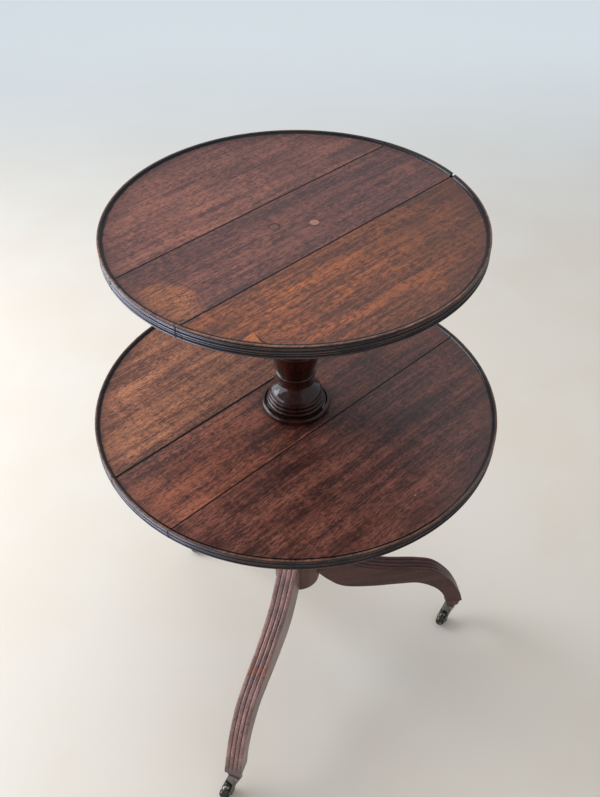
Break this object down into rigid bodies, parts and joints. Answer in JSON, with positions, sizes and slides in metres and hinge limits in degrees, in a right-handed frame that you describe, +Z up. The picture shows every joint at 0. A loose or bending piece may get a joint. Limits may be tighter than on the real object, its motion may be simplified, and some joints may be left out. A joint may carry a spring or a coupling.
{
  "type": "drop-leaf dumbwaiter table",
  "caption": "Round two-tier mahogany dumbwaiter table: dished drop-leaf tiers with reeded edges on a turned pillar, sabre legs and brass casters.",
  "frame": {"origin": "on the pillar's axis at floor level, the plane that the wheels stand on", "axes": "+Z up along the pillar; X along the rule joints; +Y towards the back leaves"},
  "size_m": [0.6052, 0.6123, 0.94],
  "materials": {
    "mahogany": "worn French-polished mahogany, grain along the rule joints",
    "dark_mahogany": "dark polished mahogany, turned",
    "hidden_wood": "plain unpolished wood under the tiers",
    "pellet_wood": "polished wooden pellets, grain across the board",
    "brass": "dull old brass",
    "old_brass": "dark tarnished brass",
    "steel": "dull steel pins and screws"
  },
  "bodies": {
    "stand": {"back_caster_plate": "old_brass", "back_leg": "mahogany", "left_caster_plate": "old_brass", "left_leg": "mahogany", "lower_back_left_fixed_flap": "brass", "lower_back_left_hinge_pin": "steel", "lower_back_right_fixed_flap": "brass", "lower_back_right_hinge_pin": "steel", "lower_block": "hidden_wood", "lower_centre_board": "mahogany", "lower_front_left_fixed_flap": "brass", "lower_front_left_hinge_pin": "steel", "lower_front_right_fixed_flap": "brass", "lower_front_right_hinge_pin": "steel", "lower_pillar": "dark_mahogany", "pellet_left": "pellet_wood", "pellet_right": "pellet_wood", "pendant": "dark_mahogany", "right_caster_plate": "old_brass", "right_leg": "mahogany", "tier_screw_left": "steel", "tier_screw_right": "steel", "upper_back_left_fixed_flap": "brass", "upper_back_left_hinge_pin": "steel", "upper_back_right_fixed_flap": "brass", "upper_back_right_hinge_pin": "steel", "upper_block": "hidden_wood", "upper_centre_board": "mahogany", "upper_front_left_fixed_flap": "brass", "upper_front_left_hinge_pin": "steel", "upper_front_right_fixed_flap": "brass", "upper_front_right_hinge_pin": "steel", "upper_pillar": "dark_mahogany"},
    "upper_back_leaf": {"upper_back_leaf": "mahogany", "upper_back_left_leaf_flap": "brass", "upper_back_right_leaf_flap": "brass"},
    "upper_front_leaf": {"upper_front_leaf": "mahogany", "upper_front_left_leaf_flap": "brass", "upper_front_right_leaf_flap": "brass"},
    "lower_back_leaf": {"lower_back_leaf": "mahogany", "lower_back_left_leaf_flap": "brass", "lower_back_right_leaf_flap": "brass"},
    "lower_front_leaf": {"lower_front_leaf": "mahogany", "lower_front_left_leaf_flap": "brass", "lower_front_right_leaf_flap": "brass"},
    "upper_bearer": {"upper_bearer": "hidden_wood"},
    "lower_bearer": {"lower_bearer": "hidden_wood"},
    "right_swivel": {"right_caster_horn": "old_brass", "right_caster_axle": "steel"},
    "back_swivel": {"back_caster_horn": "old_brass", "back_caster_axle": "steel"},
    "left_swivel": {"left_caster_horn": "old_brass", "left_caster_axle": "steel"},
    "right_wheel": {"right_caster_wheel": "brass"},
    "back_wheel": {"back_caster_wheel": "brass"},
    "left_wheel": {"left_caster_wheel": "brass"}
  },
  "joints": [
    {"name": "upper_back_leaf_hinge", "type": "hinge", "parent": "stand", "child": "upper_back_leaf", "pos_m": [0, 0.06, 0.9244], "axis": [-1, 0, 0], "range_deg": [0, 90]},
    {"name": "upper_front_leaf_hinge", "type": "hinge", "parent": "stand", "child": "upper_front_leaf", "pos_m": [0, -0.06, 0.9244], "axis": [1, 0, 0], "range_deg": [0, 90]},
    {"name": "lower_back_leaf_hinge", "type": "hinge", "parent": "stand", "child": "lower_back_leaf", "pos_m": [0, 0.061, 0.6194], "axis": [-1, 0, 0], "range_deg": [0, 90]},
    {"name": "lower_front_leaf_hinge", "type": "hinge", "parent": "stand", "child": "lower_front_leaf", "pos_m": [0, -0.061, 0.6194], "axis": [1, 0, 0], "range_deg": [0, 90]},
    {"name": "upper_bearer_turn", "type": "hinge", "parent": "stand", "child": "upper_bearer", "pos_m": [0, 0, 0.9004], "axis": [0, 0, 1], "range_deg": [-90, 0]},
    {"name": "lower_bearer_turn", "type": "hinge", "parent": "stand", "child": "lower_bearer", "pos_m": [0, 0, 0.5954], "axis": [0, 0, 1], "range_deg": [-90, 0]},
    {"name": "right_caster_swivel", "type": "hinge", "parent": "stand", "child": "right_swivel", "pos_m": [0.25311, -0.16753, 0.0412], "axis": [0, 0, 1], "continuous": true},
    {"name": "right_wheel_spin", "type": "hinge", "parent": "right_swivel", "child": "right_wheel", "pos_m": [0.2282, -0.16971, 0.0155], "axis": [-0.0872, 0.9962, 0], "continuous": true},
    {"name": "back_caster_swivel", "type": "hinge", "parent": "stand", "child": "back_swivel", "pos_m": [0.01853, 0.30296, 0.0412], "axis": [0, 0, 1], "continuous": true},
    {"name": "back_wheel_spin", "type": "hinge", "parent": "back_swivel", "child": "back_wheel", "pos_m": [-0.00637, 0.30078, 0.0155], "axis": [-0.0872, 0.9962, 0], "continuous": true},
    {"name": "left_caster_swivel", "type": "hinge", "parent": "stand", "child": "left_swivel", "pos_m": [-0.27164, -0.13543, 0.0412], "axis": [0, 0, 1], "continuous": true},
    {"name": "left_wheel_spin", "type": "hinge", "parent": "left_swivel", "child": "left_wheel", "pos_m": [-0.29654, -0.13761, 0.0155], "axis": [-0.0872, 0.9962, 0], "continuous": true}
  ]
}
